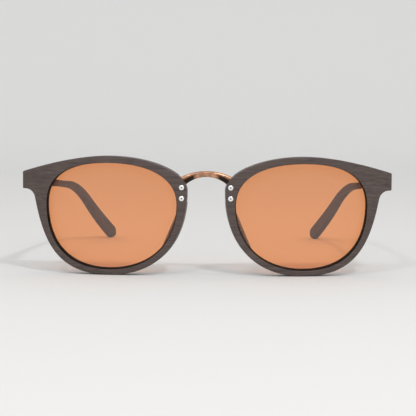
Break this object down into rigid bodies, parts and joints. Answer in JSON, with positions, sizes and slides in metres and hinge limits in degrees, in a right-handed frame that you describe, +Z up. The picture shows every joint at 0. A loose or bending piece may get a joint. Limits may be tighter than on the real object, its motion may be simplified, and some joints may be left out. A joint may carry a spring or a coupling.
{
  "type": "wooden sunglasses",
  "caption": "Round dark wood sunglasses with amber lenses, a copper arch bridge held by small steel rivets, wooden nose pads and folding wooden temples on sprung hinges.",
  "frame": {"origin": "on the table, under the middle of the box round the open glasses", "axes": "+X to the wearer's left, +Y back from the front along the temples, +Z up"},
  "size_m": [0.1434, 0.1422, 0.0459],
  "materials": {
    "rim_wood": "dark brown open-grain wood, satin oil",
    "temple_wood": "dark brown open-grain wood, satin oil",
    "pad_wood": "dark brown wood, smooth satin",
    "lens_tint": "clear amber tinted plastic, polished",
    "bridge_copper": "satin copper colour plating",
    "rivet_steel": "bright steel",
    "hinge_steel": "satin steel",
    "spring_wire": "drawn spring wire"
  },
  "bodies": {
    "front": {"left_rim": "rim_wood", "right_rim": "rim_wood", "left_lens": "lens_tint", "right_lens": "lens_tint", "left_nose_pad": "pad_wood", "right_nose_pad": "pad_wood", "bridge": "bridge_copper", "bridge_rivets": "rivet_steel", "left_hinge_leaf": "hinge_steel", "left_leaf_screws": "hinge_steel", "left_hinge_pin": "hinge_steel", "right_hinge_leaf": "hinge_steel", "right_leaf_screws": "hinge_steel", "right_hinge_pin": "hinge_steel"},
    "left_tongue": {"left_hinge_tongue": "hinge_steel", "left_hinge_spring": "spring_wire", "left_spring_stop": "hinge_steel"},
    "left_temple": {"left_temple": "temple_wood", "left_hinge_case": "hinge_steel", "left_case_screws": "hinge_steel"},
    "right_tongue": {"right_hinge_tongue": "hinge_steel", "right_hinge_spring": "spring_wire", "right_spring_stop": "hinge_steel"},
    "right_temple": {"right_temple": "temple_wood", "right_hinge_case": "hinge_steel", "right_case_screws": "hinge_steel"}
  },
  "joints": [
    {"name": "left_fold", "type": "hinge", "parent": "front", "child": "left_tongue", "pos_m": [0.06658, -0.05561, 0.0362], "axis": [0, 0, 1], "range_deg": [0, 81]},
    {"name": "left_flex", "type": "slide", "parent": "left_tongue", "child": "left_temple", "axis": [0, 0.996, -0.0889], "range_m": [0, 0.0016], "stiffness_N_per_m": 1500, "deforming": ["left_hinge_spring"]},
    {"name": "right_fold", "type": "hinge", "parent": "front", "child": "right_tongue", "pos_m": [-0.06658, -0.05561, 0.0362], "axis": [0, 0, -1], "range_deg": [0, 76]},
    {"name": "right_flex", "type": "slide", "parent": "right_tongue", "child": "right_temple", "axis": [0, 0.996, -0.0889], "range_m": [0, 0.0016], "stiffness_N_per_m": 1500, "deforming": ["right_hinge_spring"]}
  ]
}
